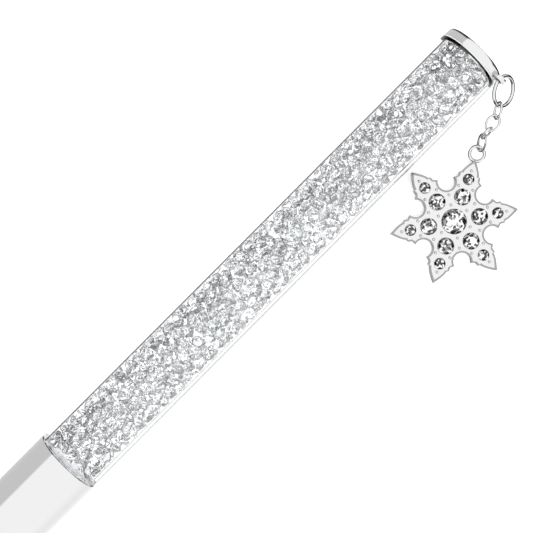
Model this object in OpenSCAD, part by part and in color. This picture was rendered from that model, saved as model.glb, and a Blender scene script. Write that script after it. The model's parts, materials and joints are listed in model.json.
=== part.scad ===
// Crystal-filled twist wand: a clear tube of loose stones over a polished barrel that holds a
// twist-out writing refill, with a snowflake charm on a short chain at the capped end.
//
// Frame: +X runs along the wand towards the cap and +Z is up. The wand lies on its side on the
// plane z = floor_z, and its charm lies beside it on the -Y side. The origin is on the wand's
// axis, at the middle of the barrel's straight grip.

/* [Barrel] */
// Outer radius of the barrel
barrel_r = 4.6; // [3.8:0.1:5.6]
// Length of the barrel's straight tube
barrel_len = 46; // [40:1:58]
// Thickness of the barrel's wall
barrel_wall = 0.5; // [0.4:0.05:0.6]
// Length of the tapered nose beyond the barrel
nose_len = 26.5; // [22:0.5:34]
// Outer radius at the nose's very tip
nose_tip_r = 1.4; // [1.2:0.1:1.8]
// Length of the nose's spigot inside the barrel
spigot_len = 4; // [3:0.5:6]

/* [Clear tube] */
// Outer radius of the clear tube
tube_r = 4.5; // [3.8:0.1:5.4]
// Length of the clear tube between the barrel and the cap
tube_len = 71.4; // [55:0.5:90]
// Thickness of the clear tube's wall
tube_wall = 0.65; // [0.5:0.05:0.9]
// Width of one loose stone
stone_w = 2.3; // [1.8:0.1:2.5]
// Distance from one layer of loose stones to the next
stone_pitch = 2.05; // [1.9:0.05:2.6]

/* [Cap] */
// Outer radius of the cap
cap_r = 4.45; // [3.8:0.05:5.4]
// Height of the cap's visible rim
cap_h = 1.25; // [1:0.05:2]
// Depth of the cap's plug inside the tube
cap_plug_h = 0.3; // [0.2:0.1:2]
// Thickness of the seal under the cap
seal_t = 0.15; // [0.1:0.05:0.3]
// Turn of the charm lug above the horizontal
lug_turn = 27; // [0:1:60]
// Radius of the hole in the charm lug
lug_hole_r = 0.5; // [0.45:0.05:0.6]

/* [Twist mechanism] */
// Travel of the refill
stroke = 4.5; // [3.5:0.1:5]
// Turn of the head that drives the full travel
twist_turn = 180; // [120:10:180]
// Radius of the follower's drive peg
peg_r = 0.45; // [0.35:0.05:0.5]
// Thickness of the spindle's wall
spindle_wall = 0.7; // [0.6:0.05:0.8]
// Thickness of the bush in the barrel's mouth
bush_wall = 0.35; // [0.3:0.05:0.45]
// Radius of the drag ring's cord
drag_cord_r = 0.3; // [0.25:0.05:0.35]

/* [Refill] */
// Outer radius of the refill's tube
refill_r = 1.175; // [1:0.025:1.2]
// Overall length of the refill
refill_len = 67; // [64:0.5:67.5]
// Radius of the writing ball
ball_r = 0.35; // [0.25:0.05:0.4]
// Depth of the ball inside the nose when the refill is in
recess = 1; // [0.5:0.1:1.5]

/* [Chain] */
// Mean radius of the jump ring
ring_r = 1.93; // [1.7:0.05:2.4]
// Radius of the jump ring's wire
ring_wire_r = 0.25; // [0.2:0.01:0.3]
// Outer length of the three small links
link_len = 2.5; // [2.2:0.05:3.2]
// Outer width of the three small links
link_w = 1.85; // [1.75:0.05:2.2]
// Outer length of the last link
long_link_len = 3.7; // [3.5:0.1:4.8]
// Outer width of the last link
long_link_w = 2.3; // [2.1:0.05:2.8]
// Radius of the links' wire
link_wire_r = 0.17; // [0.14:0.01:0.18]
// Mean radius of the charm's own ring
bail_r = 0.97; // [0.85:0.01:1.2]
// Radius of the charm ring's wire
bail_wire_r = 0.21; // [0.17:0.01:0.22]

/* [Charm] */
// Distance from the charm's centre to the tips of its arms
arm_r = 8.4; // [7.8:0.1:10]
// Thickness of the charm's plate inside its raised edge
plate_t = 1.0; // [0.9:0.05:1.4]
// Height of the charm's raised edge
edge_h = 0.14; // [0.05:0.01:0.2]
// Width of the charm's raised edge
edge_w = 0.22; // [0.15:0.01:0.3]
// Diameter of the centre stone
centre_stone_d = 3.3; // [2.6:0.1:3.4]
// Diameter of the six stones around it
ring_stone_d = 2.2; // [1.7:0.1:2.3]
// Diameter of the six stones near the tips
arm_stone_d = 1.5; // [1.2:0.1:1.6]
// Radius of the grains that hold the stones
bead_r = 0.2; // [0.15:0.01:0.22]

/* [Hidden] */
$fn = 64;

run_gap = 0.05;     // radial clearance of everything that turns or slides
end_gap = 0.1;      // clearance along the axis between faces that turn past each other
chain_gap = 0.09;   // slack between two wires that hang in each other
over = 1;           // how far a cutting shape runs past what it cuts

// The barrel and what is stacked in it, from its mouth down
seam_x = barrel_len / 2;
bore_r = barrel_r - barrel_wall;
floor_z = -max(barrel_r, tube_r);
mouth_r = min(bore_r, tube_r - 0.4);      // the mouth always reaches in under the tube's shoulder
bush_bore_r = mouth_r - bush_wall;
lip_t = 0.3;
bush_top_x = seam_x - lip_t;
bush_len = 10;
sleeve_top_x = bush_top_x - bush_len;
peg_margin = 1.8;
sleeve_len = stroke + 2 * peg_margin;
sleeve_end_x = sleeve_top_x - sleeve_len;
nose_top_x = seam_x - barrel_len;
nose_tip_x = nose_top_x - nose_len;

// The head's parts that reach down into the barrel
neck_r = bush_bore_r - run_gap;
neck_len = 6;
neck_bore_r = neck_r - tube_wall;
neck_end_x = seam_x - neck_len;
flange_end_x = sleeve_top_x + 0.3;
drag_x = neck_end_x - 1.1;
drag_groove_w = 0.7;
drag_r = bush_bore_r - 0.02 - drag_cord_r;

// The twist parts, from the refill outwards
follower_r = refill_r + 0.65;
follower_bore_r = refill_r;
spindle_bore_r = follower_r + run_gap;
spindle_r = spindle_bore_r + spindle_wall;
sleeve_bore_r = spindle_r + run_gap;
spindle_seat = 1.8;
clip_t = 0.6;
clip_depth = 0.35;
clip_top_x = sleeve_end_x - end_gap;
clip_r = spindle_r + 0.5;
spindle_end_x = clip_top_x - clip_t - 0.6;
spacer_bore_r = clip_r + 0.15;
peg_x = sleeve_top_x - peg_margin;
peg_out_r = bore_r - 0.15;
peg_in_r = follower_r - 0.5;
slot_r = peg_r + 0.12;
slot_steps = 24;

// The refill, from its ball back
ball_tip_x = nose_tip_x + recess;
refill_end_x = ball_tip_x + refill_len;
tip_r = refill_r - 0.375;
tip_cone_len = 1.7;
tip_cone_r = ball_r + 0.07;
tip_straight_len = 5.8;
tip_seat_len = 2.5;
stopper_len = 2;
air_len = 5;
follower_wall = 0.5;
follower_end_x = peg_x - 2;
follower_top_x = max(refill_end_x + follower_wall, flange_end_x + spindle_seat + 1);
plug_room_x = follower_top_x + 0.5;

// The clear tube and its cap
tube_bore_r = tube_r - tube_wall;
shoulder_x = seam_x + end_gap;
cap_x = seam_x + tube_len;
cap_top_x = cap_x + cap_h;
cap_plug_x = cap_x - seal_t - cap_plug_h;
plug_top_x = seam_x - 0.2;
stones_from_x = shoulder_x + 0.2;
stones_len = cap_plug_x - 0.1 - stones_from_x;
stone_layers = floor(stones_len / stone_pitch);
stone_h = stone_pitch - 0.3;
stone_ring_r = tube_bore_r - stone_w / 2 - 0.15;
stones_round = floor(180 / asin(min(1, stone_w / 2 / stone_ring_r)));

// The lug and the jump ring that hangs in it
lug_t = 0.6;
lug_x = cap_top_x - 0.35 - lug_t / 2;
lug_hole_at = cap_r + 0.55;
lug_rim = 0.32;
hole_at = [lug_x, -lug_hole_at * cos(lug_turn), lug_hole_at * sin(lug_turn)];
link_end_r = 0.62;              // mean radius of the links' round ends
ring_lay = [-29, 38, -108];     // roll, dip and heading of the jump ring
ring_hook = -50;                // where round the jump ring the chain hangs

// The chain: each piece starts where the wire before it lies, and drops its share to the floor
function turn_x(v, a) = [v.x, v.y * cos(a) - v.z * sin(a), v.y * sin(a) + v.z * cos(a)];
function turn_y(v, a) = [v.x * cos(a) + v.z * sin(a), v.y, -v.x * sin(a) + v.z * cos(a)];
function turn_z(v, a) = [v.x * cos(a) - v.y * sin(a), v.x * sin(a) + v.y * cos(a), v.z];
function turned(v, lay) = turn_z(turn_y(turn_x(v, lay.x), lay.y), lay.z);
function pitch(len, wire, before) = len - 3 * wire - before - chain_gap;

hook_0 = hole_at + turned(ring_r * [1 + cos(ring_hook), sin(ring_hook), 0], ring_lay);
charm_z = floor_z + (plate_t + edge_h) / 2;
drop = hook_0.z - charm_z;
first_pitch = pitch(link_len, link_wire_r, ring_wire_r);
small_pitch = pitch(link_len, link_wire_r, link_wire_r);
last_pitch = pitch(long_link_len, link_wire_r, link_wire_r)
  - link_wire_r - bail_wire_r - chain_gap;
slopes = [0.366, 0.304, 0.88, 0.919];     // how steeply each link hangs, 0 level to 1 upright
usual_drop = slopes * [first_pitch, small_pitch, small_pitch, last_pitch];
most_drop = first_pitch + 2 * small_pitch + last_pitch;
function dip(i) = asin(drop > usual_drop
  ? 1 - (1 - slopes[i]) * (most_drop - drop) / (most_drop - usual_drop)
  : slopes[i] * drop / usual_drop);
lay_1 = [67, dip(0), -149];
lay_2 = [-1, dip(1), -165];
lay_3 = [130, dip(2), -148];
lay_4 = [64, dip(3), -154];
charm_lay = [0, 0, -154];
hook_1 = hook_0 + turned([first_pitch, 0, 0], lay_1);
hook_2 = hook_1 + turned([small_pitch, 0, 0], lay_2);
hook_3 = hook_2 + turned([small_pitch, 0, 0], lay_3);
charm_hook = hook_3 + turned([last_pitch, 0, 0], lay_4);

// The charm, drawn with arms along +X and every sixth of a turn
charm_x = 2 * bail_r + arm_r - 0.1;
notch_r = 1.15;
mouth = 1.05;
notch_at = arm_r - 3.15;
barb_at = arm_r - 2.72;
ring_stones_at = centre_stone_d / 2 + ring_stone_d / 2 + 0.6;
arm_stones_at = ring_stones_at + ring_stone_d / 2 + arm_stone_d / 2 + 0.55;
crown = 0.16;
girdle = 0.06;
pavilion = 0.24;

// A solid of revolution about the X axis, from [x, radius] points
module lathe(points) {
  rotate([0, 90, 0]) rotate_extrude() polygon([for (p = points) [p.y, p.x]]);
}

// A tube or rod along X
module rod(x0, x1, r) {
  translate([x0, 0, 0]) rotate([0, 90, 0]) cylinder(r = r, h = x1 - x0);
}
module sleeve(x0, x1, outer, inner) {
  difference() {
    rod(x0, x1, outer);
    rod(x0 - over, x1 + over, inner);
  }
}

// A wire ring of mean radius r, flat on the XY plane
module wire_ring(r, wire) {
  rotate_extrude() translate([r, 0]) circle(r = wire);
}

// Part of a wire ring, from angle a0 over a sweep
module wire_arc(r, wire, a0, sweep) {
  rotate([0, 0, a0]) rotate_extrude(angle = sweep) translate([r, 0]) circle(r = wire);
}

// An oval link of four tangent arcs, that starts round a wire at the origin and runs along +X.
// A slight bead marks each place where two arcs meet.
module oval_link(len, width, wire, before, end_r) {
  a = len / 2 - wire;
  b = width / 2 - wire;
  side_r = (pow(a - end_r, 2) + b * b - end_r * end_r) / (2 * (b - end_r));
  side_at = side_r - b;
  tangent = atan2(side_at, a - end_r);
  translate([len / 2 - 2 * wire - before - chain_gap, 0, 0])
    for (end = [0, 180])
      rotate([0, 0, end]) {
        translate([a - end_r, 0, 0]) wire_arc(end_r, wire, -tangent, 2 * tangent);
        translate([0, -side_at, 0]) wire_arc(side_r, wire, tangent, 180 - 2 * tangent);
        for (side = [-1, 1])
          translate([a - end_r, 0, 0]) rotate([0, 0, side * tangent]) translate([end_r, 0, 0])
            rotate([90, 0, 0]) cylinder(r = 1.04 * wire, h = wire, center = true);
      }
}

module barrel() {
  edge = 0.2;
  color("lightgray") lathe([
    [nose_top_x, bore_r], [nose_top_x, barrel_r - edge], [nose_top_x + edge, barrel_r],
    [seam_x - edge, barrel_r], [seam_x, barrel_r - edge], [seam_x, mouth_r],
    if (mouth_r < bore_r) each [[bush_top_x, mouth_r], [bush_top_x, bore_r]]
  ]);
}

module nose_cone() {
  steps = 12;
  bend = 1.7;
  room_r = 3;
  room_len = 3;
  funnel_len = 5;
  hole_len = 3.5;
  guide_r = refill_r + 0.125;
  hole_r = tip_r + run_gap;
  outer = [for (i = [0:steps]) let (t = i / steps)
    [nose_top_x - t * (nose_len - 0.3), barrel_r - (barrel_r - nose_tip_r - 0.2) * pow(t, bend)]];
  color("lightgray") difference() {
    union() {
      lathe(concat([[nose_top_x, 0]], outer, [[nose_tip_x, nose_tip_r], [nose_tip_x, 0]]));
      rod(nose_top_x, nose_top_x + spigot_len, bore_r);
    }
    lathe([
      [nose_top_x + spigot_len + over, 0], [nose_top_x + spigot_len + over, room_r],
      [nose_top_x - room_len, room_r], [nose_top_x - room_len - funnel_len, guide_r],
      [nose_tip_x + hole_len, guide_r], [nose_tip_x + hole_len, hole_r],
      [nose_tip_x - over, hole_r], [nose_tip_x - over, 0]
    ]);
  }
}

module spacer_tube() {
  color("dimgray") sleeve(nose_top_x + spigot_len, sleeve_end_x, bore_r, spacer_bore_r);
}

// The drive peg's path: one radial hole at each step along the helix
module cam_sleeve() {
  color("gold") difference() {
    sleeve(sleeve_end_x, sleeve_top_x, bore_r, sleeve_bore_r);
    for (i = [0:slot_steps])
      translate([peg_x - stroke * i / slot_steps, 0, 0])
        rotate([twist_turn * i / slot_steps, 0, 0])
          translate([0, 0, spindle_bore_r]) cylinder(r = slot_r, h = barrel_r);
  }
}

module collar_bush() {
  color("goldenrod") sleeve(sleeve_top_x, bush_top_x, bore_r, bush_bore_r);
}

module crystal_tube() {
  edge = 0.25;
  color("aliceblue") lathe([
    [neck_end_x, neck_bore_r], [neck_end_x, neck_r], [shoulder_x, neck_r],
    [shoulder_x, tube_r - edge], [shoulder_x + edge, tube_r],
    [cap_x - seal_t, tube_r], [cap_x - seal_t, tube_bore_r],
    [shoulder_x, tube_bore_r], [seam_x - 0.1, neck_bore_r]
  ]);
}

// Loose stones, shown as layers of a ring of stones, with one in the middle where it has room
module crystals() {
  color("white")
    for (layer = [0:stone_layers - 1])
      translate([stones_from_x + layer * stone_pitch, 0, 0]) rotate([30 * layer, 0, 0]) {
        if (stone_ring_r > stone_w) rod(0, stone_h, stone_w / 2, $fn = 8);
        for (i = [0:stones_round - 1])
          rotate([360 * i / stones_round, 0, 0]) translate([0, stone_ring_r, 0])
            rod(0.15, stone_h + 0.15, stone_w / 2, $fn = 8);
      }
}

module neck_plug() {
  color("silver") difference() {
    union() {
      rod(neck_end_x, plug_top_x, neck_bore_r);
      rod(flange_end_x, neck_end_x, neck_r);
    }
    rod(flange_end_x - over, plug_room_x, spindle_bore_r);
    rod(flange_end_x - over, flange_end_x + spindle_seat, spindle_r);
    sleeve(drag_x - drag_groove_w / 2, drag_x + drag_groove_w / 2, barrel_r, drag_r - drag_cord_r);
  }
}

module drag_ring() {
  color("black") translate([drag_x, 0, 0]) rotate([0, 90, 0]) wire_ring(drag_r, drag_cord_r);
}

module spindle() {
  slot_end = peg_r + 0.1;
  color("silver") difference() {
    sleeve(spindle_end_x, flange_end_x + spindle_seat, spindle_r, spindle_bore_r);
    sleeve(clip_top_x - clip_t, clip_top_x, spindle_r + over, spindle_r - clip_depth);
    translate([peg_x - stroke, -slot_end, 0]) cube([stroke, 2 * slot_end, barrel_r]);
    for (x = [peg_x, peg_x - stroke]) translate([x, 0, 0]) cylinder(r = slot_end, h = barrel_r);
  }
}

// An open clip that snaps into the spindle's groove
module retaining_ring() {
  mouth_w = 2;
  color("dimgray") difference() {
    sleeve(clip_top_x - clip_t, clip_top_x, clip_r, spindle_r - clip_depth);
    translate([clip_top_x - clip_t - over, -mouth_w / 2, -clip_r - over])
      cube([clip_t + 2 * over, mouth_w, clip_r + over]);
  }
}

module cap() {
  edge = 0.3;
  color("gainsboro") lathe([
    [cap_plug_x, 0], [cap_plug_x, tube_bore_r], [cap_x, tube_bore_r], [cap_x, cap_r],
    for (i = [0:6]) [cap_top_x - edge + edge * sin(15 * i), cap_r - edge + edge * cos(15 * i)],
    [cap_top_x, 0]
  ]);
}

module cap_seal() {
  color("dimgray") sleeve(cap_x - seal_t, cap_x, cap_r, tube_bore_r);
}

// A flat ear brazed to the cap's rim
module charm_lug() {
  color("gainsboro") rotate([-lug_turn, 0, 0]) difference() {
    union() {
      translate([0, -lug_hole_at, 0]) rod(lug_x - lug_t / 2, lug_x + lug_t / 2, lug_hole_r + lug_rim);
      translate([lug_x - lug_t / 2, -lug_hole_at, -lug_hole_r - lug_rim])
        cube([lug_t, 1.2, 2 * (lug_hole_r + lug_rim)]);
    }
    rod(cap_x - over, cap_top_x + over, cap_r);
    translate([0, -lug_hole_at, 0]) rod(cap_x - over, cap_top_x + over, lug_hole_r);
  }
}

module follower() {
  color("ivory") difference() {
    rod(follower_end_x, follower_top_x, follower_r);
    rod(follower_end_x - over, refill_end_x, follower_bore_r);
    translate([peg_x, 0, peg_in_r]) cylinder(r = peg_r, h = over);
  }
}

module drive_peg() {
  color("silver") translate([peg_x, 0, peg_in_r]) cylinder(r = peg_r, h = peg_out_r - peg_in_r);
}

module refill_tube() {
  tube_front_x = ball_tip_x + tip_cone_len + tip_straight_len;
  color("goldenrod") sleeve(tube_front_x, refill_end_x, refill_r, tip_r);
}

module refill_tip() {
  cone_x = ball_tip_x + tip_cone_len;
  color("tan") difference() {
    lathe([
      [ball_tip_x + 0.25, 0], [ball_tip_x + 0.25, tip_cone_r], [cone_x, tip_r],
      [cone_x + tip_straight_len + tip_seat_len, tip_r],
      [cone_x + tip_straight_len + tip_seat_len, 0]
    ]);
    translate([ball_tip_x + ball_r, 0, 0]) sphere(r = ball_r + 0.02);
    rod(ball_tip_x, cone_x + tip_straight_len + tip_seat_len + over, ball_r / 2);
  }
}

module writing_ball() {
  color("gray") translate([ball_tip_x + ball_r, 0, 0]) sphere(r = ball_r);
}

module refill_stopper() {
  color("white") rod(refill_end_x - stopper_len, refill_end_x, tip_r);
}

module ink() {
  ink_front_x = ball_tip_x + tip_cone_len + tip_straight_len + tip_seat_len;
  color("midnightblue") rod(ink_front_x, refill_end_x - stopper_len - air_len, tip_r);
}

module jump_ring() {
  color("silver") translate(hole_at) rotate(ring_lay) translate([ring_r, 0, 0])
    wire_ring(ring_r, ring_wire_r);
}

module small_link(before) {
  color("silver") oval_link(link_len, link_w, link_wire_r, before, link_end_r);
}
module link_1() { translate(hook_0) rotate(lay_1) small_link(ring_wire_r); }
module link_2() { translate(hook_1) rotate(lay_2) small_link(link_wire_r); }
module link_3() { translate(hook_2) rotate(lay_3) small_link(link_wire_r); }
module link_4() {
  color("silver") translate(hook_3) rotate(lay_4)
    oval_link(long_link_len, long_link_w, link_wire_r, link_wire_r, link_end_r);
}

// Places what is drawn about the charm's centre, with one arm towards its ring
module on_charm() {
  translate(charm_hook) rotate(charm_lay) translate([charm_x, 0, 0]) children();
}

// One side of an arm's outline, inset by e: out of the notch and over two barbs towards the tip
function arm_side(e) = concat(
  [for (x = [notch_at, barb_at - e]) turn_z([x, -mouth - e, 0], 30)],
  [[arm_r - 2.6, 1.44 - e, 0], [arm_r - 2.05, 1.42 - e, 0], [arm_r - 1.95 - e / 2, 1.16 - e, 0]],
  [for (i = [1:4]) [arm_r - 1.95 + (1.95 - 2 * e) * i / 5, (1.16 - e) * (1 - pow(i / 5, 1.35)), 0]]
);
module flake(e) {
  side = arm_side(e);
  arm = concat(
    [for (p = side) [p.x, -p.y, 0]], [[arm_r - 2 * e, 0, 0]],
    [for (k = [len(side) - 1:-1:0]) side[k]]
  );
  difference() {
    polygon([for (i = [0:5], p = arm) let (q = turn_z(p, 60 * i)) [q.x, q.y]]);
    for (i = [0:5]) rotate(60 * i + 30) translate([notch_at, 0]) circle(r = notch_r + e);
  }
}

// A round stone whose girdle is level with z = 0
module stone(d) {
  translate([0, 0, -pavilion * d]) cylinder(r1 = 0.2 * d, r2 = d / 2, h = pavilion * d);
  cylinder(r = d / 2, h = girdle * d);
  translate([0, 0, girdle * d]) cylinder(r1 = d / 2, r2 = 0.29 * d, h = crown * d);
}
module all_stones() {
  top = plate_t / 2;
  translate([0, 0, top]) stone(centre_stone_d);
  sixfold(ring_stones_at) translate([0, 0, top]) stone(ring_stone_d);
  sixfold(arm_stones_at) translate([0, 0, top]) stone(arm_stone_d);
}
module sixfold(r, turn = 0) {
  for (i = [0:5]) rotate([0, 0, 60 * i + turn]) translate([r, 0, 0]) children();
}

module charm_plate() {
  color("gainsboro") on_charm() difference() {
    translate([0, 0, -(plate_t + edge_h) / 2]) difference() {
      linear_extrude(plate_t + edge_h) flake(0);
      translate([0, 0, plate_t]) linear_extrude(over) flake(edge_w);
    }
    translate([0, 0, -edge_h / 2]) all_stones();
    translate([bail_r - charm_x, 0, 0]) wire_ring(bail_r, bail_wire_r);
  }
}

module charm_ring() {
  color("silver") on_charm() translate([bail_r - charm_x, 0, 0]) wire_ring(bail_r, bail_wire_r);
}

// The face that the stones and grains are set on
module on_face() {
  on_charm() translate([0, 0, (plate_t - edge_h) / 2]) children();
}
module centre_stone() { color("white") on_face() stone(centre_stone_d); }
module ring_stones() { color("white") on_face() sixfold(ring_stones_at) stone(ring_stone_d); }
module arm_stones() { color("white") on_face() sixfold(arm_stones_at) stone(arm_stone_d); }

module bead() {
  intersection() {
    sphere(r = bead_r);
    cylinder(r = 2 * bead_r, h = 2 * bead_r);
  }
}
module setting_beads() {
  color("gainsboro") on_face() {
    sixfold(arm_stones_at + arm_stone_d / 2 + 0.4) bead();
    for (side = [-1, 1])
      sixfold((ring_stones_at + arm_stones_at) / 2 + 0.15, side * 12) bead();
    sixfold(centre_stone_d / 2 + 0.52, 30) bead();
    sixfold(ring_stones_at + 0.15, 30) bead();
  }
}

barrel();
nose_cone();
spacer_tube();
cam_sleeve();
collar_bush();
crystal_tube();
crystals();
neck_plug();
drag_ring();
spindle();
retaining_ring();
cap();
cap_seal();
charm_lug();
follower();
drive_peg();
refill_tube();
refill_tip();
refill_stopper();
ink();
writing_ball();
jump_ring();
link_1();
link_2();
link_3();
link_4();
charm_plate();
charm_ring();
centre_stone();
ring_stones();
arm_stones();
setting_beads();
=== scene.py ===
"""Crystal-filled twist wand with a snowflake charm: the visible pieces, their finishes and the stage.

Lengths typed here are millimetres until mm() turns them into metres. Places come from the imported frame.
"""

import json
from math import atan2, cos, pi, radians, sin

import bmesh
import bpy
from bpy.props import FloatProperty, FloatVectorProperty, IntProperty, PointerProperty
from mathutils import Matrix, Vector


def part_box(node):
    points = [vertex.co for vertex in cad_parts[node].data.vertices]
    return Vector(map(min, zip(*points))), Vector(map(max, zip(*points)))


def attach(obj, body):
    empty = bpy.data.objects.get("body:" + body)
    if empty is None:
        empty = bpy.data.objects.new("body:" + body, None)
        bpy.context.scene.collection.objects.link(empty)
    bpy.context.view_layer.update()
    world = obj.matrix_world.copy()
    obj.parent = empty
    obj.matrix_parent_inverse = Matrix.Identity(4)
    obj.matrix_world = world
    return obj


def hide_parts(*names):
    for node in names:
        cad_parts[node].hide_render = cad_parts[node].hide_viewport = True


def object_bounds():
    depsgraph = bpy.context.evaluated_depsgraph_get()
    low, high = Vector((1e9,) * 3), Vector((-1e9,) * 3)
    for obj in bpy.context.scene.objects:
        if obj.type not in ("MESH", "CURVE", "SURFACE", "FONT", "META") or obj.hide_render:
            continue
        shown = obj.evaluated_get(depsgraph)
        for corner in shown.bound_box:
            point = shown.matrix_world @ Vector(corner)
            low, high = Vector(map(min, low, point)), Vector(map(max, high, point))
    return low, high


bl_info = {
    "name": "Crystal Wand",
    "version": (1, 0, 0),
    "blender": (4, 5, 0),
    "location": "3D View > Sidebar > Wand",
    "description": "Builds a crystal-filled twist wand, its snowflake charm and a pale stage",
    "category": "Add Mesh",
}

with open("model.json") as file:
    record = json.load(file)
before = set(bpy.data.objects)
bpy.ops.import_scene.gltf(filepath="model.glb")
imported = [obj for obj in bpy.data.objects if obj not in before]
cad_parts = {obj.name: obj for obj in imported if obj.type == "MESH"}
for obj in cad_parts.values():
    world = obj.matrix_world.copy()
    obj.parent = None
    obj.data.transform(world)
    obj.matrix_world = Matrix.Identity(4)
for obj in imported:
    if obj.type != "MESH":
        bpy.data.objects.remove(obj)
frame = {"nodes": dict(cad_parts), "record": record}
CAD_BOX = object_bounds()
NODES = frame["nodes"]
JOINTS = {joint["name"]: joint for joint in frame["record"]["behaviour"]["joints"]}
MOUNTS = {mount["name"]: mount for mount in frame["record"]["mounts"]}
TUBE_WALL = 0.65  # thickness of the clear tube's wall
SEAM_GAP = 0.1  # from the barrel's mouth to the clear tube's shoulder
SHAKE = (0.22, 0.12, 0.12)  # how far a loose stone may sit from its place
LINK_END = 0.62  # mean radius of a link's round ends
SET_STONES = {  # node: diameter, count, distance from the charm's centre
    "centre_stone": (3.3, 1, 0), "ring_stones": (2.2, 6, 3.35), "arm_stones": (1.5, 6, 5.75),
}


def mm(value):
    """Millimetres to metres."""
    return value / 1000


# ---------------------------------------------------------------- sizes and colours


class WandMetal(bpy.types.PropertyGroup):
    """Finish of the plated metal."""

    colour: FloatVectorProperty(
        name="Plate", description="Colour of the mirror plate",
        default=(0.585, 0.585, 0.59), subtype="COLOR", min=0, max=1,
    )
    charm_colour: FloatVectorProperty(
        name="Charm", description="Colour of the charm's casting",
        default=(0.59, 0.59, 0.595), subtype="COLOR", min=0, max=1,
    )
    roughness: FloatProperty(
        name="Roughness", description="Blur of the mirror plate", default=0.035, min=0, max=1,
    )
    edge: FloatProperty(
        name="Edge", description="Radius of the broken edges", default=mm(0.05),
        min=mm(0.02), max=mm(0.3), subtype="DISTANCE", unit="LENGTH",
    )


class WandStones(bpy.types.PropertyGroup):
    """The loose stones in the clear tube."""

    width: FloatProperty(
        name="Width", description="Width of one loose stone", default=mm(1.95),
        min=mm(1.2), max=mm(2.6), subtype="DISTANCE", unit="LENGTH",
    )
    outer: IntProperty(
        name="Outer", description="Stones round the wall in one layer", default=12, min=6, max=14,
    )
    inner: IntProperty(
        name="Inner", description="Stones inside them in one layer", default=4, min=1, max=6,
    )
    seed: IntProperty(name="Seed", description="Seed of the stones' tumbling", default=7, min=0)
    # Painted reflections: size of the bright and dark patches painted into the set stones' colour.
    painted_reflection_size: FloatProperty(
        name="Facet", description="Size of the set stones' bright and dark facets", default=mm(0.28),
        min=mm(0.1), max=mm(1), subtype="DISTANCE", unit="LENGTH",
    )
    index: FloatProperty(
        name="IOR", description="Refractive index of the stones", default=1.3, min=1.0, max=2.5,
    )


class WandChain(bpy.types.PropertyGroup):
    """Wire sizes of the jump ring, the links and the charm's ring."""

    link_width: FloatProperty(
        name="Link width", description="Outer width of a small link", default=mm(1.85),
        min=mm(1.7), max=mm(2.2), subtype="DISTANCE", unit="LENGTH",
    )
    long_width: FloatProperty(
        name="Long link width", description="Outer width of the last link", default=mm(2.3),
        min=mm(2.1), max=mm(2.8), subtype="DISTANCE", unit="LENGTH",
    )
    wire: FloatProperty(
        name="Link wire", description="Radius of the links' wire", default=mm(0.163),
        min=mm(0.1), max=mm(0.2), subtype="DISTANCE", unit="LENGTH",
    )
    ring_wire: FloatProperty(
        name="Jump ring wire", description="Radius of the jump ring's wire", default=mm(0.25),
        min=mm(0.15), max=mm(0.3), subtype="DISTANCE", unit="LENGTH",
    )
    bail_wire: FloatProperty(
        name="Charm ring wire", description="Radius of the charm ring's wire", default=mm(0.21),
        min=mm(0.15), max=mm(0.25), subtype="DISTANCE", unit="LENGTH",
    )
    slack: FloatProperty(
        name="Slack", description="Gap between two wires that hang in each other", default=mm(0.09),
        min=mm(0.02), max=mm(0.2), subtype="DISTANCE", unit="LENGTH",
    )


class WandStage(bpy.types.PropertyGroup):
    """Camera and light."""

    height: FloatProperty(
        name="Height", description="Camera's height over the wand's axis", default=mm(161),
        min=mm(50), max=1, subtype="DISTANCE", unit="LENGTH",
    )
    turn: FloatProperty(
        name="Turn", description="Camera's turn about the vertical", default=radians(-45.1), subtype="ANGLE",
    )
    lens: FloatProperty(name="Lens", description="Focal length in millimetres", default=86.1, min=20, max=200)
    white: FloatProperty(name="White", description="Brightness of the white cards", default=1.5, min=0)
    near: FloatProperty(name="Near", description="Brightness of the low near side", default=1.36, min=0)
    grey: FloatProperty(name="Grey", description="Brightness of the grey card", default=0.93, min=0)
    back: FloatProperty(
        name="Back", description="Brightness of what is seen through the stones", default=1.5, min=0,
    )
    shade: FloatProperty(
        name="Shade", description="Brightness of the dark side seen through the stones", default=0.1, min=0,
    )
    black: FloatProperty(name="Black", description="Brightness of the dark cards", default=0.03, min=0)


# ---------------------------------------------------------------- finishes


def new_material(name, colour, metallic=0.0, roughness=0.5):
    """A Principled material with plain values, and its shader."""
    material = bpy.data.materials.new(name)
    material.use_nodes = True
    shader = material.node_tree.nodes["Principled BSDF"]
    shader.inputs["Base Color"].default_value = (*colour, 1)
    shader.inputs["Metallic"].default_value = metallic
    shader.inputs["Roughness"].default_value = roughness
    material.diffuse_color = (*colour, 1)
    return material, shader


def add_node(material, kind, **values):
    """A shader node with its input sockets set by name."""
    node = material.node_tree.nodes.new(kind)
    for name, value in values.items():
        node.inputs[name.replace("_", " ")].default_value = value
    return node


def wire_up(material, source, socket):
    """Joins an output to an input."""
    material.node_tree.links.new(source, socket)


def noise(material, scale, detail=3.0, stretch=(1, 1, 1)):
    """Noise over the piece's own coordinates, scale in waves per metre."""
    place = add_node(material, "ShaderNodeTexCoord")
    mapping = add_node(material, "ShaderNodeMapping", Scale=stretch)
    texture = add_node(material, "ShaderNodeTexNoise", Scale=scale, Detail=detail)
    wire_up(material, place.outputs["Object"], mapping.inputs["Vector"])
    wire_up(material, mapping.outputs["Vector"], texture.inputs["Vector"])
    return texture.outputs["Fac"]


def ramp(material, factor, low, high):
    """Maps a factor from 0.3..0.7 to low..high."""
    node = add_node(material, "ShaderNodeMapRange", From_Min=0.3, From_Max=0.7, To_Min=low, To_Max=high)
    wire_up(material, factor, node.inputs["Value"])
    return node.outputs["Result"]


def bump(material, shader, height, strength, distance):
    """Fine relief on a shader's normal."""
    node = add_node(material, "ShaderNodeBump", Strength=strength, Distance=distance)
    wire_up(material, height, node.inputs["Height"])
    wire_up(material, node.outputs["Normal"], shader.inputs["Normal"])


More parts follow.
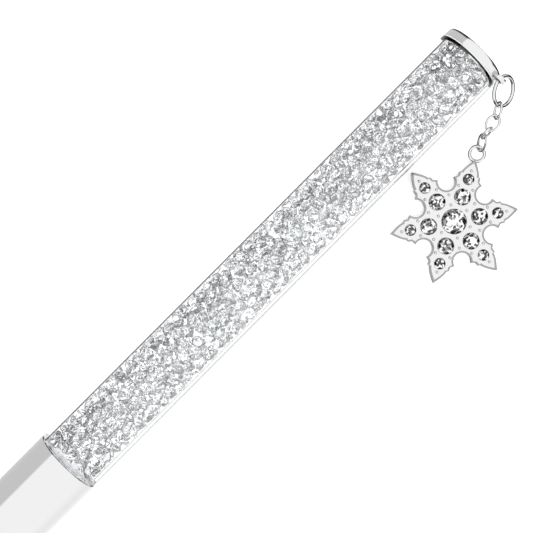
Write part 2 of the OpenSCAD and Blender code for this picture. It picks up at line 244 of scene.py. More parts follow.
def plated(name, colour, roughness, grain=400, relief=0.02):
    """Bright plate: even mirror with a faint drift in its polish."""
    material, shader = new_material(name, colour, 1.0, roughness)
    drift = noise(material, grain, 4)
    wire_up(material, ramp(material, drift, roughness * 0.7, roughness * 1.5), shader.inputs["Roughness"])
    bump(material, shader, noise(material, grain * 3, 2, (1, 6, 6)), relief, mm(0.02))
    return material


def turned_metal(name, colour, roughness=0.28):
    """Lathe-turned metal with rings of fine tool marks along the wand."""
    material, shader = new_material(name, colour, 1.0, roughness)
    marks = noise(material, 9000, 2, (1, 0.02, 0.02))
    wire_up(material, ramp(material, marks, roughness * 0.7, roughness * 1.4), shader.inputs["Roughness"])
    bump(material, shader, marks, 0.25, mm(0.02))
    return material


def moulded(name, colour, roughness):
    """Moulded plastic or rubber with a fine eggshell surface."""
    material, shader = new_material(name, colour, 0.0, roughness)
    skin = noise(material, 5000, 3)
    blur = ramp(material, skin, roughness * 0.85, min(1, roughness * 1.2))
    wire_up(material, blur, shader.inputs["Roughness"])
    bump(material, shader, skin, 0.2, mm(0.02))
    return material


def clear(name, colour, index, roughness=0.0, metallic=0.0):
    """Clear glass or acrylic, with a share of silvering if it is foil-backed."""
    material, shader = new_material(name, colour, metallic, roughness)
    shader.inputs["Transmission Weight"].default_value = 1
    shader.inputs["IOR"].default_value = index
    return material


def foil_with_painted_reflections(name, painted_reflection_size):
    """Foil-backed crystal: bright and dark facets, painted into the colour as painted reflections, that cross
    below a clear face.
    """
    material, shader = new_material(name, (0.8, 0.8, 0.81), 1.0, 0.03)
    place = add_node(material, "ShaderNodeTexCoord")
    painted_reflection_patches = add_node(material, "ShaderNodeTexVoronoi", Scale=1 / painted_reflection_size)
    split = add_node(material, "ShaderNodeSeparateColor")
    # Painted reflections: each Voronoi patch gets a level from dark 0.03 to bright 0.72, standing in for the
    # bright and dark surroundings that the stone mirrors.
    painted_reflection_tone = add_node(material, "ShaderNodeMapRange", From_Min=0.34, From_Max=0.56, To_Min=0.03, To_Max=0.72)
    wire_up(material, place.outputs["Object"], painted_reflection_patches.inputs["Vector"])
    wire_up(material, painted_reflection_patches.outputs["Color"], split.inputs["Color"])
    wire_up(material, split.outputs["Red"], painted_reflection_tone.inputs["Value"])
    wire_up(material, painted_reflection_tone.outputs["Result"], shader.inputs["Base Color"])
    shader.inputs["Coat Weight"].default_value = 1
    return material


# ---------------------------------------------------------------- shapes


def mesh_object(name, verts, faces, material):
    """A linked object from plain lists."""
    mesh = bpy.data.meshes.new(name)
    mesh.from_pydata([tuple(v) for v in verts], [], faces)
    mesh.update()
    mesh.materials.append(material)
    thing = bpy.data.objects.new(name, mesh)
    bpy.context.scene.collection.objects.link(thing)
    tidy_normals(mesh)
    return thing


def tidy_normals(mesh):
    """Turns every face of a closed mesh outwards."""
    shape = bmesh.new()
    shape.from_mesh(mesh)
    bmesh.ops.recalc_face_normals(shape, faces=shape.faces)
    shape.to_mesh(mesh)
    shape.free()


def arc(x, r, size, start, end, steps=6):
    """Points of a fillet in a lathe profile: centre (x, r), from one angle to another in degrees."""
    angles = [radians(start + (end - start) * i / steps) for i in range(steps + 1)]
    return [(x + size * cos(a), r + size * sin(a)) for a in angles]


def lathe(name, profile, material, segments=160, smooth=radians(35)):
    """A closed solid of revolution about X, from a closed loop of (x, radius) points."""
    verts = []
    for x, r in profile:
        for k in range(segments):
            turn = 2 * pi * k / segments
            verts.append((x, r * cos(turn), r * sin(turn)))
    faces = []
    count = len(profile)
    for i in range(count):
        j = (i + 1) % count
        if profile[i][1] < 1e-9 and profile[j][1] < 1e-9:
            continue
        for k in range(segments):
            n = (k + 1) % segments
            faces.append((i * segments + k, i * segments + n, j * segments + n, j * segments + k))
    thing = mesh_object(name, verts, faces, material)
    shape = bmesh.new()
    shape.from_mesh(thing.data)
    bmesh.ops.remove_doubles(shape, verts=shape.verts, dist=1e-7)
    bmesh.ops.dissolve_degenerate(shape, edges=shape.edges, dist=1e-8)
    bmesh.ops.recalc_face_normals(shape, faces=shape.faces)
    shape.to_mesh(thing.data)
    shape.free()
    thing.data.shade_smooth()
    thing.data.set_sharp_from_angle(angle=smooth)
    return thing


def brilliant(width, crown=0.16, girdle=0.03, pavilion=0.42, table=0.56):
    """Corners and facets of a round brilliant whose girdle lies round the origin, table towards +Z."""
    radius = width / 2
    star, culet_ring = 0.80, 0.25
    half = pi / 8

    def ring(count, turn, r, z):
        angles = [turn + 2 * pi * i / count for i in range(count)]
        return [(r * cos(a), r * sin(a), z) for a in angles]

    def crown_z(r, turn):
        return girdle * width + crown * width * (1 - r * cos(turn)) / (1 - table)

    def pavilion_z(r, turn):
        return -pavilion * width * (1 - r * cos(turn))

    tables = ring(8, 0, table * radius, (girdle + crown) * width)
    stars = ring(8, half, star * radius, crown_z(star, half))
    upper = ring(16, 0, radius, girdle * width)
    lower = ring(16, 0, radius, 0)
    mains = ring(8, half, culet_ring * radius, pavilion_z(culet_ring, half))
    verts = tables + stars + upper + lower + mains + [(0, 0, -pavilion * width)]
    t, s, u, w, p, tip = 0, 8, 16, 32, 48, 56
    faces = [tuple(range(8))]
    for i in range(8):
        n, b = (i + 1) % 8, (i - 1) % 8
        g0, g1, g2 = 2 * i, 2 * i + 1, (2 * i + 2) % 16
        faces += [(t + i, s + i, t + n), (t + i, s + b, u + g0, s + i)]
        faces += [(s + i, u + g0, u + g1), (s + i, u + g1, u + g2)]
        faces += [(u + g0, w + g0, w + g1, u + g1), (u + g1, w + g1, w + g2, u + g2)]
        faces += [(p + i, w + g1, w + g0), (p + i, w + g2, w + g1), (tip, p + i, w + g0, p + b)]
    return verts, faces


def single_cut(width, crown=0.2, girdle=0.1, pavilion=0.4, table=0.58):
    """Corners and facets of a simple eight-sided cut stone, its girdle round the origin."""
    radius = width / 2
    levels = ((table * radius, (girdle + crown) * width), (radius, girdle * width), (radius, 0))
    verts = [(r * cos(pi * i / 4), r * sin(pi * i / 4), z) for r, z in levels for i in range(8)]
    faces = [tuple(range(8))]
    for i in range(8):
        n = (i + 1) % 8
        faces += [(level + i, level + n, level + 8 + n, level + 8 + i) for level in (0, 8)]
        faces.append((16 + i, 16 + n, 24))
    return verts + [(0, 0, -pavilion * width)], faces


def wire_path(name, points, wire, material, place, sides=20):
    """A closed wire swept by Geometry Nodes round a loop of points, then made plain."""
    count = len(points)
    mesh = bpy.data.meshes.new(name)
    mesh.from_pydata([place @ Vector(p) for p in points], [(i, (i + 1) % count) for i in range(count)], [])
    thing = bpy.data.objects.new(name, mesh)
    bpy.context.scene.collection.objects.link(thing)
    tree, start, end = new_tree("Wire")
    names = {"Radius": ("NodeSocketFloat", wire), "Material": ("NodeSocketMaterial", material)}
    sockets = tree_inputs(tree, names)
    curve = tree.nodes.new("GeometryNodeMeshToCurve")
    circle = tree.nodes.new("GeometryNodeCurvePrimitiveCircle")
    circle.inputs["Resolution"].default_value = sides
    sweep = tree.nodes.new("GeometryNodeCurveToMesh")
    join(tree, start.outputs["Geometry"], curve.inputs["Mesh"])
    join(tree, start.outputs["Radius"], circle.inputs["Radius"])
    join(tree, curve.outputs["Curve"], sweep.inputs["Curve"])
    join(tree, circle.outputs["Curve"], sweep.inputs["Profile Curve"])
    finish_tree(tree, start, end, sweep.outputs["Mesh"], smooth=True)
    return made_plain(thing, tree, sockets, names)


# ---------------------------------------------------------------- Geometry Nodes helpers


def new_tree(name):
    """An empty Geometry Nodes tree with a geometry input and output."""
    tree = bpy.data.node_groups.new(name, "GeometryNodeTree")
    tree.interface.new_socket("Geometry", in_out="INPUT", socket_type="NodeSocketGeometry")
    tree.interface.new_socket("Geometry", in_out="OUTPUT", socket_type="NodeSocketGeometry")
    return tree, tree.nodes.new("NodeGroupInput"), tree.nodes.new("NodeGroupOutput")


def tree_inputs(tree, names):
    """Adds named inputs, and returns each one's socket identifier."""
    return {
        name: tree.interface.new_socket(name, in_out="INPUT", socket_type=kind).identifier
        for name, (kind, value) in names.items()
    }


def join(tree, source, socket):
    """Joins an output to an input in a tree."""
    tree.links.new(source, socket)


def finish_tree(tree, start, end, geometry, smooth=False):
    """Ends a tree in Realize Instances, shading and Set Material."""
    real = tree.nodes.new("GeometryNodeRealizeInstances")
    shade = tree.nodes.new("GeometryNodeSetShadeSmooth")
    shade.inputs["Shade Smooth"].default_value = smooth
    paint = tree.nodes.new("GeometryNodeSetMaterial")
    join(tree, geometry, real.inputs["Geometry"])
    join(tree, real.outputs["Geometry"], shade.inputs["Geometry"])
    join(tree, shade.outputs["Geometry"], paint.inputs["Geometry"])
    join(tree, start.outputs["Material"], paint.inputs["Material"])
    join(tree, paint.outputs["Geometry"], end.inputs["Geometry"])


def made_plain(thing, tree, sockets, names):
    """Runs the tree on an object with its named values, and keeps only the resulting mesh."""
    modifier = thing.modifiers.new(tree.name, "NODES")
    modifier.node_group = tree
    for name, identifier in sockets.items():
        modifier[identifier] = names[name][1]
    depsgraph = bpy.context.evaluated_depsgraph_get()
    mesh = bpy.data.meshes.new_from_object(thing.evaluated_get(depsgraph), depsgraph=depsgraph)
    thing.modifiers.clear()
    thing.data = mesh
    mesh.name = thing.name
    return thing


def maths(tree, operation, first, second=None):
    """A math node on sockets or numbers; returns its output."""
    node = tree.nodes.new("ShaderNodeMath")
    node.operation = operation
    for socket, value in zip(node.inputs, (first, second)):
        if value is None:
            continue
        if isinstance(value, (int, float)):
            socket.default_value = value
        else:
            join(tree, value, socket)
    return node.outputs[0]


def random_vector(tree, low, high, seed):
    """A random vector for each point."""
    node = tree.nodes.new("FunctionNodeRandomValue")
    node.data_type = "FLOAT_VECTOR"
    node.inputs["Min"].default_value = low
    node.inputs["Max"].default_value = high
    join(tree, seed, node.inputs["Seed"])
    return node.outputs["Value"]


# ---------------------------------------------------------------- pieces


def settings():
    """The scene's own settings for the wand."""
    scene = bpy.context.scene
    return scene.wand_metal, scene.wand_stones, scene.wand_chain, scene.wand_stage


def give(piece, body, slot, *nodes):
    """Rides a piece on its body and hides the CAD nodes that it stands for; the slot is not used."""
    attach(piece, body)
    if nodes:
        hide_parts(*nodes)
    return piece


class WAND_OT_barrel(bpy.types.Operator):
    """Polished barrel tube and its tapered nose"""

    bl_idname = "wand.barrel"
    bl_label = "Barrel and nose"

    def execute(self, context):
        metal = settings()[0]
        finish = plated("polished_metal", metal.colour, metal.roughness)
        low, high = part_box("barrel")
        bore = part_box("collar_bush")[1].z
        radius, edge = high.z, metal.edge
        profile = [(low.x, bore)]
        profile += arc(low.x + edge, radius - edge, edge, 180, 90)
        profile += arc(high.x - edge, radius - edge, edge, 90, 0)
        profile += [(high.x, bore)]
        give(lathe("barrel_shell", profile, finish), "grip", "polished_metal", "barrel")

        tip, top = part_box("nose_cone")
        start, length = low.x, low.x - tip.x
        tip_r, lip, hole_r, guide_r, room_r = mm(1.6), mm(0.2), mm(0.85), mm(1.3), mm(3)
        hole_len, room_len, funnel_len = mm(3.5), mm(3), mm(5)
        bend, steps = 1.7, 40
        outer = []
        for i in range(1, steps + 1):
            t = i / steps
            outer.append((start - t * (length - mm(0.3)), radius - (radius - tip_r) * t**bend))
        profile = [(top.x, room_r), (top.x, bore), (start, bore)]
        profile += arc(start - edge, radius - edge, edge, 0, 90)[:-1]
        profile += [p for p in outer if p[0] < start - 2 * edge]
        profile += arc(tip.x + lip, mm(1.35), lip, 100, 180, 4)
        profile += [(tip.x, hole_r), (tip.x + hole_len, hole_r), (tip.x + hole_len, guide_r)]
        profile += [(start - room_len - funnel_len, guide_r), (start - room_len, room_r)]
        give(lathe("nose_shell", profile, finish), "grip", "polished_metal", "nose_cone")
        return {"FINISHED"}


class WAND_OT_tube(bpy.types.Operator):
    """Clear tube, with the neck that reaches down into the barrel"""

    bl_idname = "wand.tube"
    bl_label = "Clear tube"

    def execute(self, context):
        finish = clear("clear_tube", (0.985, 0.99, 0.995), 1.05)
        finish.node_tree.nodes["Principled BSDF"].inputs["Coat Weight"].default_value = 1
        low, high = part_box("crystal_tube")
        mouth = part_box("barrel")[1].x + mm(SEAM_GAP)
        neck_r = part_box("neck_plug")[1].z
        neck_bore, bore, edge = neck_r - mm(TUBE_WALL), high.z - mm(TUBE_WALL), mm(0.08)
        profile = [(low.x, neck_bore), (low.x, neck_r), (mouth, neck_r)]
        profile += arc(mouth + edge, high.z - edge, edge, 180, 90, 4)
        profile += arc(high.x - edge, high.z - edge, edge, 90, 0, 4)
        profile += [(high.x, bore), (mouth, bore), (mouth - mm(0.2), neck_bore)]
        give(lathe("clear_tube", profile, finish, 192), "head", "clear_tube", "crystal_tube")
        return {"FINISHED"}


class WAND_OT_cap(bpy.types.Operator):
    """Polished cap, its seal and the ear that carries the charm"""

    bl_idname = "wand.cap"
    bl_label = "Cap and lug"

    def execute(self, context):
        metal = settings()[0]
        finish = plated("cap_metal", metal.colour, metal.roughness)
        low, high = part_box("cap")
        rim_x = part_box("cap_seal")[1].x
        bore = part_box("crystal_tube")[1].z - mm(TUBE_WALL)
        top, foot = mm(0.3), mm(0.06)
        profile = [(low.x, 0), (low.x, bore), (rim_x, bore)]
        profile += arc(rim_x + foot, high.z - foot, foot, 180, 90, 3)
        profile += arc(high.x - top, high.z - top, top, 90, 0, 8)
        profile += [(high.x, 0)]
        give(lathe("cap_shell", profile, finish), "head", "polished_metal", "cap")
        lug = bevelled_copy("charm_lug", "lug_ear", finish, mm(0.06))
        give(lug, "head", "polished_metal", "charm_lug")
        NODES["cap_seal"].material_slots[0].material = moulded("clear_seal", (0.8, 0.8, 0.8), 0.5)
        return {"FINISHED"}


def bevelled_copy(node, name, material, width, angle=radians(30), segments=3):
    """A copy of a CAD node with its sharp edges rounded."""
    source = NODES[node]
    shape = bmesh.new()
    shape.from_mesh(source.data)
    bmesh.ops.remove_doubles(shape, verts=shape.verts, dist=1e-7)
    bmesh.ops.dissolve_limit(shape, angle_limit=radians(1), verts=shape.verts, edges=shape.edges)
    mesh = bpy.data.meshes.new(name)
    shape.to_mesh(mesh)
    shape.free()
    mesh.materials.clear()
    mesh.materials.append(material)
    thing = bpy.data.objects.new(name, mesh)
    bpy.context.scene.collection.objects.link(thing)
    bevel = thing.modifiers.new("edges", "BEVEL")
    bevel.width = width
    bevel.segments = segments
    bevel.limit_method = "ANGLE"
    bevel.angle_limit = angle
    bevel.harden_normals = False
    mesh.shade_smooth()
    depsgraph = bpy.context.evaluated_depsgraph_get()
    thing.data = bpy.data.meshes.new_from_object(thing.evaluated_get(depsgraph), depsgraph=depsgraph)
    thing.modifiers.clear()
    thing.data.set_sharp_from_angle(angle=radians(40))
    return thing


class WAND_OT_stones(bpy.types.Operator):
    """Loose faceted stones that fill the clear tube"""

    bl_idname = "wand.stones"
    bl_label = "Loose stones"

    def execute(self, context):
        stones = settings()[1]
        finish = clear("crystal", (0.985, 0.99, 0.995), stones.index)
        seed_mesh = bpy.data.meshes.new("loose_stone")
        verts, faces = single_cut(stones.width)
        seed_mesh.from_pydata(verts, [], faces)
        tidy_normals(seed_mesh)
        stone = bpy.data.objects.new("loose_stone", seed_mesh)
        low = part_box("crystals")[0]
        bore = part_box("crystal_tube")[1].z - mm(TUBE_WALL)
        first = low.x + stones.width * 0.45
        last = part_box("cap")[0].x - stones.width * 0.4
        layers = round((last - first) / (stones.width * 0.72)) + 1
        thing = bpy.data.objects.new("loose_stones", bpy.data.meshes.new("loose_stones"))
        context.scene.collection.objects.link(thing)
        tree, start, end = new_tree("Loose stones")
        names = {
            "Stone": ("NodeSocketObject", stone),
            "Layers": ("NodeSocketInt", layers),
            "First layer": ("NodeSocketFloat", first),
            "Pitch": ("NodeSocketFloat", (last - first) / (layers - 1)),
            "Outer count": ("NodeSocketInt", stones.outer),
            "Inner count": ("NodeSocketInt", stones.inner),
            "Outer ring": ("NodeSocketFloat", bore - stones.width * 0.36),
            "Bore": ("NodeSocketFloat", bore - mm(0.02)),
            "Inner ring": ("NodeSocketFloat", bore - stones.width * 1.3),
            "Seed": ("NodeSocketInt", stones.seed),
            "Material": ("NodeSocketMaterial", finish),
        }
        sockets = tree_inputs(tree, names)
        both = tree.nodes.new("GeometryNodeJoinGeometry")
        for which, twist in (("Outer", 0.5), ("Inner", 0.37)):
            join(tree, self.layered(tree, start, which, twist), both.inputs["Geometry"])
        finish_tree(tree, start, end, self.pressed(tree, start, both.outputs["Geometry"]))
        made_plain(thing, tree, sockets, names)
        bpy.data.objects.remove(stone)
        give(thing, "head", "crystal", "crystals")
        return {"FINISHED"}

    def pressed(self, tree, start, stones):
        """Brings every corner that would reach into the tube's wall back to its bore."""
        real = tree.nodes.new("GeometryNodeRealizeInstances")
        join(tree, stones, real.inputs["Geometry"])
        place = tree.nodes.new("GeometryNodeInputPosition")
        split = tree.nodes.new("ShaderNodeSeparateXYZ")
        join(tree, place.outputs["Position"], split.inputs[0])
        y, z = split.outputs["Y"], split.outputs["Z"]
        squares = [maths(tree, "MULTIPLY", v, v) for v in (y, z)]
        reach = maths(tree, "SQRT", maths(tree, "ADD", *squares))
        share = maths(tree, "MINIMUM", maths(tree, "DIVIDE", start.outputs["Bore"], reach), 1.0)
        merge = tree.nodes.new("ShaderNodeCombineXYZ")
        join(tree, split.outputs["X"], merge.inputs["X"])
        join(tree, maths(tree, "MULTIPLY", y, share), merge.inputs["Y"])
        join(tree, maths(tree, "MULTIPLY", z, share), merge.inputs["Z"])
        put = tree.nodes.new("GeometryNodeSetPosition")
        join(tree, real.outputs["Geometry"], put.inputs["Geometry"])
        join(tree, merge.outputs["Vector"], put.inputs["Position"])
        return put.outputs["Geometry"]

    def layered(self, tree, start, which, twist):
        """Tumbled stones in rings, each ring a part turn round from the one before."""
        count = start.outputs[f"{which} count"]
        points = tree.nodes.new("GeometryNodePoints")
        join(tree, maths(tree, "MULTIPLY", start.outputs["Layers"], count), points.inputs["Count"])
        index = tree.nodes.new("GeometryNodeInputIndex").outputs["Index"]
        layer = maths(tree, "FLOOR", maths(tree, "DIVIDE", index, count))
        turn = maths(tree, "DIVIDE", maths(tree, "ADD", index, maths(tree, "MULTIPLY", layer, twist)), count)
        angle = maths(tree, "MULTIPLY", turn, 2 * pi)
        ring = start.outputs[f"{which} ring"]
        place = tree.nodes.new("ShaderNodeCombineXYZ")
        step = maths(tree, "MULTIPLY", layer, start.outputs["Pitch"])
        along = maths(tree, "ADD", start.outputs["First layer"], step)
        join(tree, along, place.inputs["X"])
        join(tree, maths(tree, "MULTIPLY", ring, maths(tree, "COSINE", angle)), place.inputs["Y"])
        join(tree, maths(tree, "MULTIPLY", ring, maths(tree, "SINE", angle)), place.inputs["Z"])
        put = tree.nodes.new("GeometryNodeSetPosition")
        join(tree, points.outputs[0], put.inputs["Geometry"])
        join(tree, place.outputs["Vector"], put.inputs["Position"])
        shake = [mm(v) for v in SHAKE]
        jitter = random_vector(tree, [-v for v in shake], shake, start.outputs["Seed"])
        join(tree, jitter, put.inputs["Offset"])
        copies = tree.nodes.new("GeometryNodeInstanceOnPoints")
        info = tree.nodes.new("GeometryNodeObjectInfo")
        join(tree, start.outputs["Stone"], info.inputs["Object"])
        join(tree, put.outputs["Geometry"], copies.inputs["Points"])
        join(tree, info.outputs["Geometry"], copies.inputs["Instance"])
        tumble = maths(tree, "ADD", start.outputs["Seed"], 11)
        turns = tree.nodes.new("FunctionNodeEulerToRotation")
        join(tree, random_vector(tree, (0, 0, 0), (2 * pi, 2 * pi, 2 * pi), tumble), turns.inputs["Euler"])
        join(tree, turns.outputs["Rotation"], copies.inputs["Rotation"])
        size = tree.nodes.new("FunctionNodeRandomValue")
        size.inputs[2].default_value, size.inputs[3].default_value = 0.8, 1.04
        join(tree, maths(tree, "ADD", start.outputs["Seed"], 23), size.inputs["Seed"])
        join(tree, size.outputs[1], copies.inputs["Scale"])
        return copies.outputs["Instances"]


def oval(half_length, half_width, end_r=mm(LINK_END), steps=12):
    """Centre line of a link: four tangent arcs round the origin, long along X."""
    side_r = ((half_length - end_r) ** 2 + half_width**2 - end_r**2) / (2 * (half_width - end_r))
    side_at = side_r - half_width
    tangent = atan2(side_at, half_length - end_r)
    half = []
    for i in range(steps):
        a = -tangent + 2 * tangent * i / steps
        half.append((half_length - end_r + end_r * cos(a), end_r * sin(a), 0))
    for i in range(steps):
        a = tangent + (pi - 2 * tangent) * i / steps
        half.append((side_r * cos(a), -side_at + side_r * sin(a), 0))
    return half + [(-x, -y, 0) for x, y, z in half]


def hook_frame(start, end, across):
    """A matrix at start with X towards end and Y near the across direction."""
    x = (end - start).normalized()
    z = x.cross(across).normalized()
    y = z.cross(x)
    place = Matrix((x, y, z)).transposed().to_4x4()
    place.translation = start
    return place


def circle_points(radius, count=72):
    """A round centre line on the XY plane."""
    turns = [2 * pi * i / count for i in range(count)]
    return [(radius * cos(a), radius * sin(a), 0) for a in turns]


class WAND_OT_chain(bpy.types.Operator):
    """Jump ring, four links and the charm's ring, each a swept wire"""

    bl_idname = "wand.chain"
    bl_label = "Chain"

    def execute(self, context):
        metal, _, chain, _ = settings()
        finish = plated("silver_wire", metal.charm_colour, 0.03, 900, 0.02)
        order = ["ring_swing", *(f"link_{i}_swing" for i in range(1, 5)), "charm_swing"]
        spots = [Vector(JOINTS[name]["pos_m"]) for name in order]
        pins = [Vector(JOINTS[name]["axis"]) for name in order]
        far = Vector(MOUNTS["charm_ring_hook"]["pos_m"])
        ring_r = (far - spots[0]).length / 2
        place = hook_frame(spots[0], far, pins[0]) @ Matrix.Translation((ring_r, 0, 0))
        ring = wire_path("jump_ring_wire", circle_points(ring_r), chain.ring_wire, finish, place, 28)
        give(ring, "jump_ring", "silver_wire", "jump_ring")
        wires = [chain.ring_wire] + [chain.wire] * 4
        for i in range(1, 5):
            name = f"link_{i}"
            reach = (spots[i + 1] - spots[i]).length
            before = wires[i - 1] + chain.slack
            half = (reach + before + chain.wire) / 2
            width = (chain.long_width if i == 4 else chain.link_width) / 2 - chain.wire
            middle = Matrix.Translation((reach - half, 0, 0))
            place = hook_frame(spots[i], spots[i + 1], pins[i + 1]) @ middle
            link = wire_path(f"{name}_wire", oval(half, width), chain.wire, finish, place)
            give(link, name, "silver_wire", name)
        low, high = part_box("charm_ring")
        bail_r = (high.x - low.x) / 2 - chain.bail_wire
        place = Matrix.Translation((low + high) / 2)
        bail = wire_path("charm_ring_wire", circle_points(bail_r), chain.bail_wire, finish, place, 24)
        give(bail, "charm", "silver_wire", "charm_ring")
        return {"FINISHED"}


def charm_frame():
    """A matrix at the charm's centre on its face, with X away from its ring."""
    low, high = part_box("centre_stone")
    ring_low, ring_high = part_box("charm_ring")
    centre = (low + high) / 2
    ring = (ring_low + ring_high) / 2
    centre.z = ring.z
    place = hook_frame(ring, centre, Vector((0, 0, 1)).cross(centre - ring))
    place.translation = centre
    place.translation.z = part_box("setting_beads")[0].z
    return place


class WAND_OT_charm(bpy.types.Operator):
    """Snowflake plate with its raised edge, painted shade on its edge faces, and setting grains"""

    bl_idname = "wand.charm"
    bl_label = "Charm plate"

    def execute(self, context):
        metal = settings()[0]
        finish = plated("charm_silver", metal.charm_colour, 0.14, 1200, 0.7)
        plate = bevelled_copy("charm_plate", "charm_casting", finish, mm(0.09), radians(35), 2)
        # Painted shade: the bevelled edge faces and the top of the raised edge take a dark plate that stands
        # in for the dark reflections on them.
        plate.data.materials.append(plated("charm_edge", (0.27, 0.27, 0.275), 0.2, 1200, 0.1))
        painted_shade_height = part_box("charm_plate")[1].z - mm(0.07)
        for face in plate.data.polygons:
            if abs(face.normal.z) < 0.97 or face.center.z > painted_shade_height:
                face.material_index = 1
        give(plate, "charm", "charm_silver", "charm_plate")
        NODES["setting_beads"].material_slots[0].material = finish
        return {"FINISHED"}


class WAND_OT_charm_stones(bpy.types.Operator):
    """The charm's set stones: one in the middle, six round it and six on the arms"""

    bl_idname = "wand.charm_stones"
    bl_label = "Set stones"

    def execute(self, context):
        stones = settings()[1]
        # Painted reflections: the set stones' bright and dark patches are painted into their colour.
        finish = foil_with_painted_reflections("foiled_crystal", stones.painted_reflection_size)
        place = charm_frame()
        for node, (width, count, reach) in SET_STONES.items():
            verts, faces = brilliant(mm(width) * 0.985, pavilion=0.235, girdle=0.06)
            thing = self.set_round(f"{node}_cut", verts, faces, count, mm(reach), place, finish)
            give(thing, "charm", "crystal", node)
        return {"FINISHED"}

    def set_round(self, name, verts, faces, count, reach, place, finish):
        """Copies of a stone at even turns, drawn by Geometry Nodes."""
        mesh = bpy.data.meshes.new(name)
        points = []
        for i in range(count):
            turn = 2 * pi * i / count
            points.append(place @ Vector((reach * cos(turn), reach * sin(turn), 0)))
        mesh.from_pydata(points, [], [])
        thing = bpy.data.objects.new(name, mesh)
        bpy.context.scene.collection.objects.link(thing)
        seed = bpy.data.meshes.new(name + "_stone")
        seed.from_pydata(verts, [], faces)
        tidy_normals(seed)
        stone = bpy.data.objects.new(name + "_stone", seed)
        tree, start, end = new_tree("Set stones")
        names = {"Stone": ("NodeSocketObject", stone), "Material": ("NodeSocketMaterial", finish)}
        sockets = tree_inputs(tree, names)
        dots = tree.nodes.new("GeometryNodeMeshToPoints")
        copies = tree.nodes.new("GeometryNodeInstanceOnPoints")
        info = tree.nodes.new("GeometryNodeObjectInfo")
        join(tree, start.outputs["Geometry"], dots.inputs["Mesh"])
        join(tree, start.outputs["Stone"], info.inputs["Object"])
        join(tree, dots.outputs["Points"], copies.inputs["Points"])
        join(tree, info.outputs["Geometry"], copies.inputs["Instance"])
        finish_tree(tree, start, end, copies.outputs["Instances"])
        made_plain(thing, tree, sockets, names)
        bpy.data.objects.remove(stone)
        return thing


class WAND_OT_works(bpy.types.Operator):
    """Finishes of the parts inside: cam, spindle, bush, follower and refill"""

    bl_idname = "wand.works"
    bl_label = "Inner works"

    def execute(self, context):
        brass = turned_metal("brass", (0.78, 0.56, 0.26))
        alloy = turned_metal("turned_aluminium", (0.74, 0.74, 0.76))
        steel = turned_metal("spring_steel", (0.42, 0.42, 0.44), 0.2)
        black = moulded("black_plastic", (0.03, 0.03, 0.032), 0.45)
        ivory = moulded("natural_plastic", (0.78, 0.76, 0.70), 0.4)
        rubber = moulded("rubber", (0.02, 0.02, 0.02), 0.6)
        ink = moulded("ink", (0.01, 0.015, 0.12), 0.15)
        finishes = {
            "spacer_tube": black, "cam_sleeve": brass, "collar_bush": brass, "neck_plug": alloy,
            "drag_ring": rubber, "spindle": alloy, "retaining_ring": steel, "follower": ivory,
            "drive_peg": steel, "refill_tube": brass, "refill_tip": brass, "refill_stopper": ivory,
            "ink": ink, "writing_ball": steel,
        }
        for node, finish in finishes.items():
            NODES[node].material_slots[0].material = finish
            NODES[node].data.shade_smooth()
            NODES[node].data.set_sharp_from_angle(angle=radians(30))
        return {"FINISHED"}


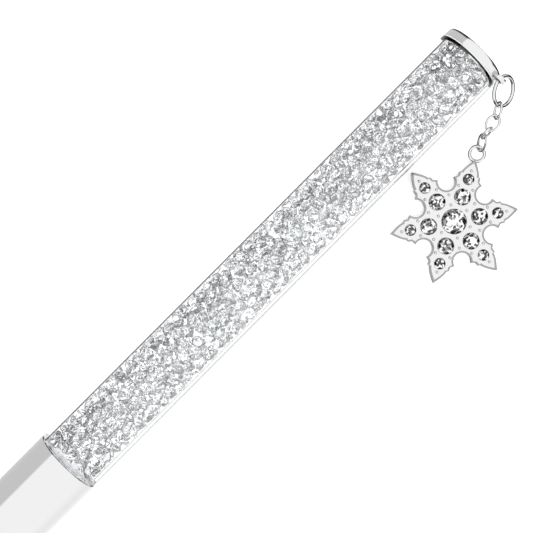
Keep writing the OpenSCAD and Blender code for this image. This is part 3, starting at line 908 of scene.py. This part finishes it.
class WAND_OT_stage(bpy.types.Operator):
    """Pale floor, soft surrounding light and the camera"""

    bl_idname = "wand.stage"
    bl_label = "Stage"

    def execute(self, context):
        stage = settings()[3]
        self.surroundings(context.scene, stage)
        self.floor(context.scene)
        self.camera(context.scene, stage)
        context.scene.view_settings.view_transform = "Standard"
        context.scene.cycles.max_bounces = 24
        context.scene.cycles.transmission_bounces = 24
        context.scene.cycles.glossy_bounces = 8
        return {"FINISHED"}

    def surroundings(self, scene, stage):
        """White cards overhead, grey along the far side and dark ones past both ends.

        What is seen through the stones has levels of its own, and the camera sees plain white.
        """
        world = bpy.data.worlds.new("cards")
        scene.world = world
        world.use_nodes = True
        tree = world.node_tree
        back = tree.nodes["Background"]
        back.inputs["Color"].default_value = (1, 1, 1, 1)
        way = tree.nodes.new("ShaderNodeTexCoord")
        split = tree.nodes.new("ShaderNodeSeparateXYZ")
        tree.links.new(way.outputs["Generated"], split.inputs[0])
        side, height = split.outputs["Y"], split.outputs["Z"]
        angle = maths(tree, "ARCTAN2", side, height)
        ends = maths(tree, "ABSOLUTE", split.outputs["X"])
        far = self.step(tree, angle, radians(50), radians(56))
        near = self.step(tree, angle, radians(-80), radians(-110))
        level = self.blend(tree, near, stage.white, stage.near)
        level = self.blend(tree, far, level, stage.grey)
        low = self.step(tree, height, 0.42, 0.3)
        low = maths(tree, "MULTIPLY", low, self.step(tree, height, -0.93, -0.85))
        past = self.step(tree, ends, 0.27, 0.33)
        past = maths(tree, "MULTIPLY", past, self.step(tree, ends, 0.95, 0.88))
        sides = maths(tree, "MAXIMUM", low, far)
        level = self.blend(tree, maths(tree, "MULTIPLY", sides, past), level, stage.black)
        path = tree.nodes.new("ShaderNodeLightPath")
        through = self.blend(tree, self.step(tree, side, 0.15, 0.3), stage.back, stage.shade)
        half_lit = (stage.back + stage.shade) / 2
        through = self.blend(tree, self.step(tree, side, -0.5, -0.65), through, half_lit)
        through = self.blend(tree, self.step(tree, ends, 0.6, 0.75), through, stage.shade)
        level = self.blend(tree, path.outputs["Is Transmission Ray"], level, through)
        level = self.blend(tree, path.outputs["Is Camera Ray"], level, stage.white)
        tree.links.new(level, back.inputs["Strength"])

    def step(self, tree, value, start, end):
        """0 at start and 1 at end, clamped."""
        node = tree.nodes.new("ShaderNodeMapRange")
        node.inputs["From Min"].default_value = start
        node.inputs["From Max"].default_value = end
        tree.links.new(value, node.inputs["Value"])
        return node.outputs["Result"]

    def blend(self, tree, factor, first, second):
        """First where the factor is 0, second where it is 1; each is a socket or a number."""
        node = tree.nodes.new("ShaderNodeMix")
        tree.links.new(factor, node.inputs["Factor"])
        for socket, value in ((node.inputs["A"], first), (node.inputs["B"], second)):
            if isinstance(value, float):
                socket.default_value = value
            else:
                tree.links.new(value, socket)
        return node.outputs["Result"]

    def floor(self, scene):
        """A wide white sheet under the wand, seen in neither the metal nor the stones."""
        half, level = 3.0, CAD_BOX[0][2]
        corners = [(-half, -half, level), (half, -half, level), (half, half, level), (-half, half, level)]
        material, shader = new_material("white_sheet", (0.9, 0.9, 0.9), 0.0, 0.9)
        shader.inputs["Emission Color"].default_value = (1, 1, 1, 1)
        shader.inputs["Emission Strength"].default_value = 0.5
        mesh = bpy.data.meshes.new("floor")
        mesh.from_pydata(corners, [], [(0, 1, 2, 3)])
        mesh.materials.append(material)
        floor = bpy.data.objects.new("floor", mesh)
        scene.collection.objects.link(floor)
        floor.visible_glossy = False
        floor.visible_transmission = False

    def camera(self, scene, stage):
        """Straight down on the clear tube."""
        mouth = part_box("barrel")[1].x
        camera = bpy.data.objects.new("camera", bpy.data.cameras.new("camera"))
        camera.data.lens = stage.lens
        camera.data.clip_start = mm(5)
        camera.location = (mouth + mm(34.96), mm(-0.35), stage.height)
        camera.rotation_euler = (0, 0, stage.turn)
        scene.collection.objects.link(camera)
        scene.camera = camera


OPERATORS = (
    WAND_OT_stage, WAND_OT_barrel, WAND_OT_tube, WAND_OT_cap, WAND_OT_stones, WAND_OT_chain,
    WAND_OT_charm, WAND_OT_charm_stones, WAND_OT_works,
)
GROUPS = {
    "wand_metal": WandMetal, "wand_stones": WandStones, "wand_chain": WandChain, "wand_stage": WandStage,
}


class WAND_PT_build(bpy.types.Panel):
    """Buttons and settings for the wand"""

    bl_label = "Crystal Wand"
    bl_idname = "WAND_PT_build"
    bl_space_type = "VIEW_3D"
    bl_region_type = "UI"
    bl_category = "Wand"

    def draw(self, context):
        for operator in OPERATORS:
            self.layout.operator(operator.bl_idname)
        for group in GROUPS:
            box = self.layout.box()
            values = getattr(context.scene, group)
            for name in values.__annotations__:
                box.prop(values, name)


def register():
    for group in GROUPS.values():
        bpy.utils.register_class(group)
    for name, group in GROUPS.items():
        setattr(bpy.types.Scene, name, PointerProperty(type=group))
    for operator in OPERATORS:
        bpy.utils.register_class(operator)
    bpy.utils.register_class(WAND_PT_build)


def unregister():
    bpy.utils.unregister_class(WAND_PT_build)
    for operator in reversed(OPERATORS):
        bpy.utils.unregister_class(operator)
    for name in GROUPS:
        delattr(bpy.types.Scene, name)
    for group in GROUPS.values():
        bpy.utils.unregister_class(group)


def main():
    register()
    for operator in OPERATORS:
        group, name = operator.bl_idname.split(".")
        getattr(getattr(bpy.ops, group), name)()


if __name__ == "__main__":
    main()
